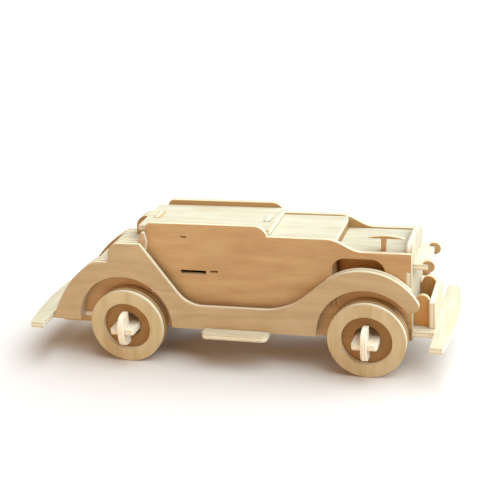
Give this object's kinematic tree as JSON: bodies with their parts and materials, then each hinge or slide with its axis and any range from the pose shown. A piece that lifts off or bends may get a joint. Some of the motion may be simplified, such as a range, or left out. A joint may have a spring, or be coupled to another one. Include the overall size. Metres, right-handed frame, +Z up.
{
  "type": "wooden 3d jigsaw car",
  "caption": "Vintage car model built of flat interlocking plywood plates, with sweeping fenders, bowed bumpers and wheels that turn on flat axle strips held by rounded keys.",
  "frame": {"origin": "on the ground below the middle of the car", "axes": "+X forwards, +Y to the car's left, +Z up"},
  "size_m": [0.226, 0.0788, 0.075],
  "materials": {
    "panel_ply": "bare satin plywood",
    "wheel_ply": "bare satin plywood",
    "axle_ply": "bare satin plywood"
  },
  "bodies": {
    "chassis": {"side_panel_right": "panel_ply", "side_panel_left": "panel_ply", "fender_right": "panel_ply", "fender_left": "panel_ply", "front_arch_ply_right": "panel_ply", "front_arch_ply_left": "panel_ply", "rear_arch_ply_right": "panel_ply", "rear_arch_ply_left": "panel_ply", "running_board_right": "panel_ply", "running_board_left": "panel_ply", "floor_plate": "panel_ply", "firewall": "panel_ply", "windshield_panel": "panel_ply", "cabin_back_panel": "panel_ply", "roof_panel": "panel_ply", "cowl_panel": "panel_ply", "bonnet_panel": "panel_ply", "engine_plate_right": "panel_ply", "engine_plate_left": "panel_ply", "radiator_panel": "panel_ply", "front_apron": "panel_ply", "grille_panel": "panel_ply", "horn_plate_right": "panel_ply", "horn_plate_left": "panel_ply", "lamp_bar": "panel_ply", "headlamp_right": "panel_ply", "headlamp_left": "panel_ply", "bonnet_mirror": "panel_ply", "rear_deck": "panel_ply", "rear_apron": "panel_ply", "front_bumper": "panel_ply", "rear_bumper": "panel_ply"},
    "front_axle": {"front_axle_strip": "axle_ply", "front_key_right": "axle_ply", "front_key_left": "axle_ply"},
    "rear_axle": {"rear_axle_strip": "axle_ply", "rear_key_right": "axle_ply", "rear_key_left": "axle_ply"},
    "front_wheel_right": {"front_wheel_right_ring": "wheel_ply", "front_wheel_right_hub": "wheel_ply", "front_wheel_right_backing": "wheel_ply"},
    "front_wheel_left": {"front_wheel_left_ring": "wheel_ply", "front_wheel_left_hub": "wheel_ply", "front_wheel_left_backing": "wheel_ply"},
    "rear_wheel_right": {"rear_wheel_right_ring": "wheel_ply", "rear_wheel_right_hub": "wheel_ply", "rear_wheel_right_backing": "wheel_ply"},
    "rear_wheel_left": {"rear_wheel_left_ring": "wheel_ply", "rear_wheel_left_hub": "wheel_ply", "rear_wheel_left_backing": "wheel_ply"}
  },
  "joints": [
    {"name": "front_axle_spin", "type": "hinge", "parent": "chassis", "child": "front_axle", "pos_m": [0.0705, 0, 0.02], "axis": [0, 1, 0], "continuous": true},
    {"name": "front_wheel_right_spin", "type": "hinge", "parent": "front_axle", "child": "front_wheel_right", "pos_m": [0.0705, 0, 0.02], "axis": [0, 1, 0], "continuous": true},
    {"name": "front_wheel_left_spin", "type": "hinge", "parent": "front_axle", "child": "front_wheel_left", "pos_m": [0.0705, 0, 0.02], "axis": [0, 1, 0], "continuous": true},
    {"name": "rear_axle_spin", "type": "hinge", "parent": "chassis", "child": "rear_axle", "pos_m": [-0.0575, 0, 0.02], "axis": [0, 1, 0], "continuous": true},
    {"name": "rear_wheel_right_spin", "type": "hinge", "parent": "rear_axle", "child": "rear_wheel_right", "pos_m": [-0.0575, 0, 0.02], "axis": [0, 1, 0], "continuous": true},
    {"name": "rear_wheel_left_spin", "type": "hinge", "parent": "rear_axle", "child": "rear_wheel_left", "pos_m": [-0.0575, 0, 0.02], "axis": [0, 1, 0], "continuous": true}
  ]
}
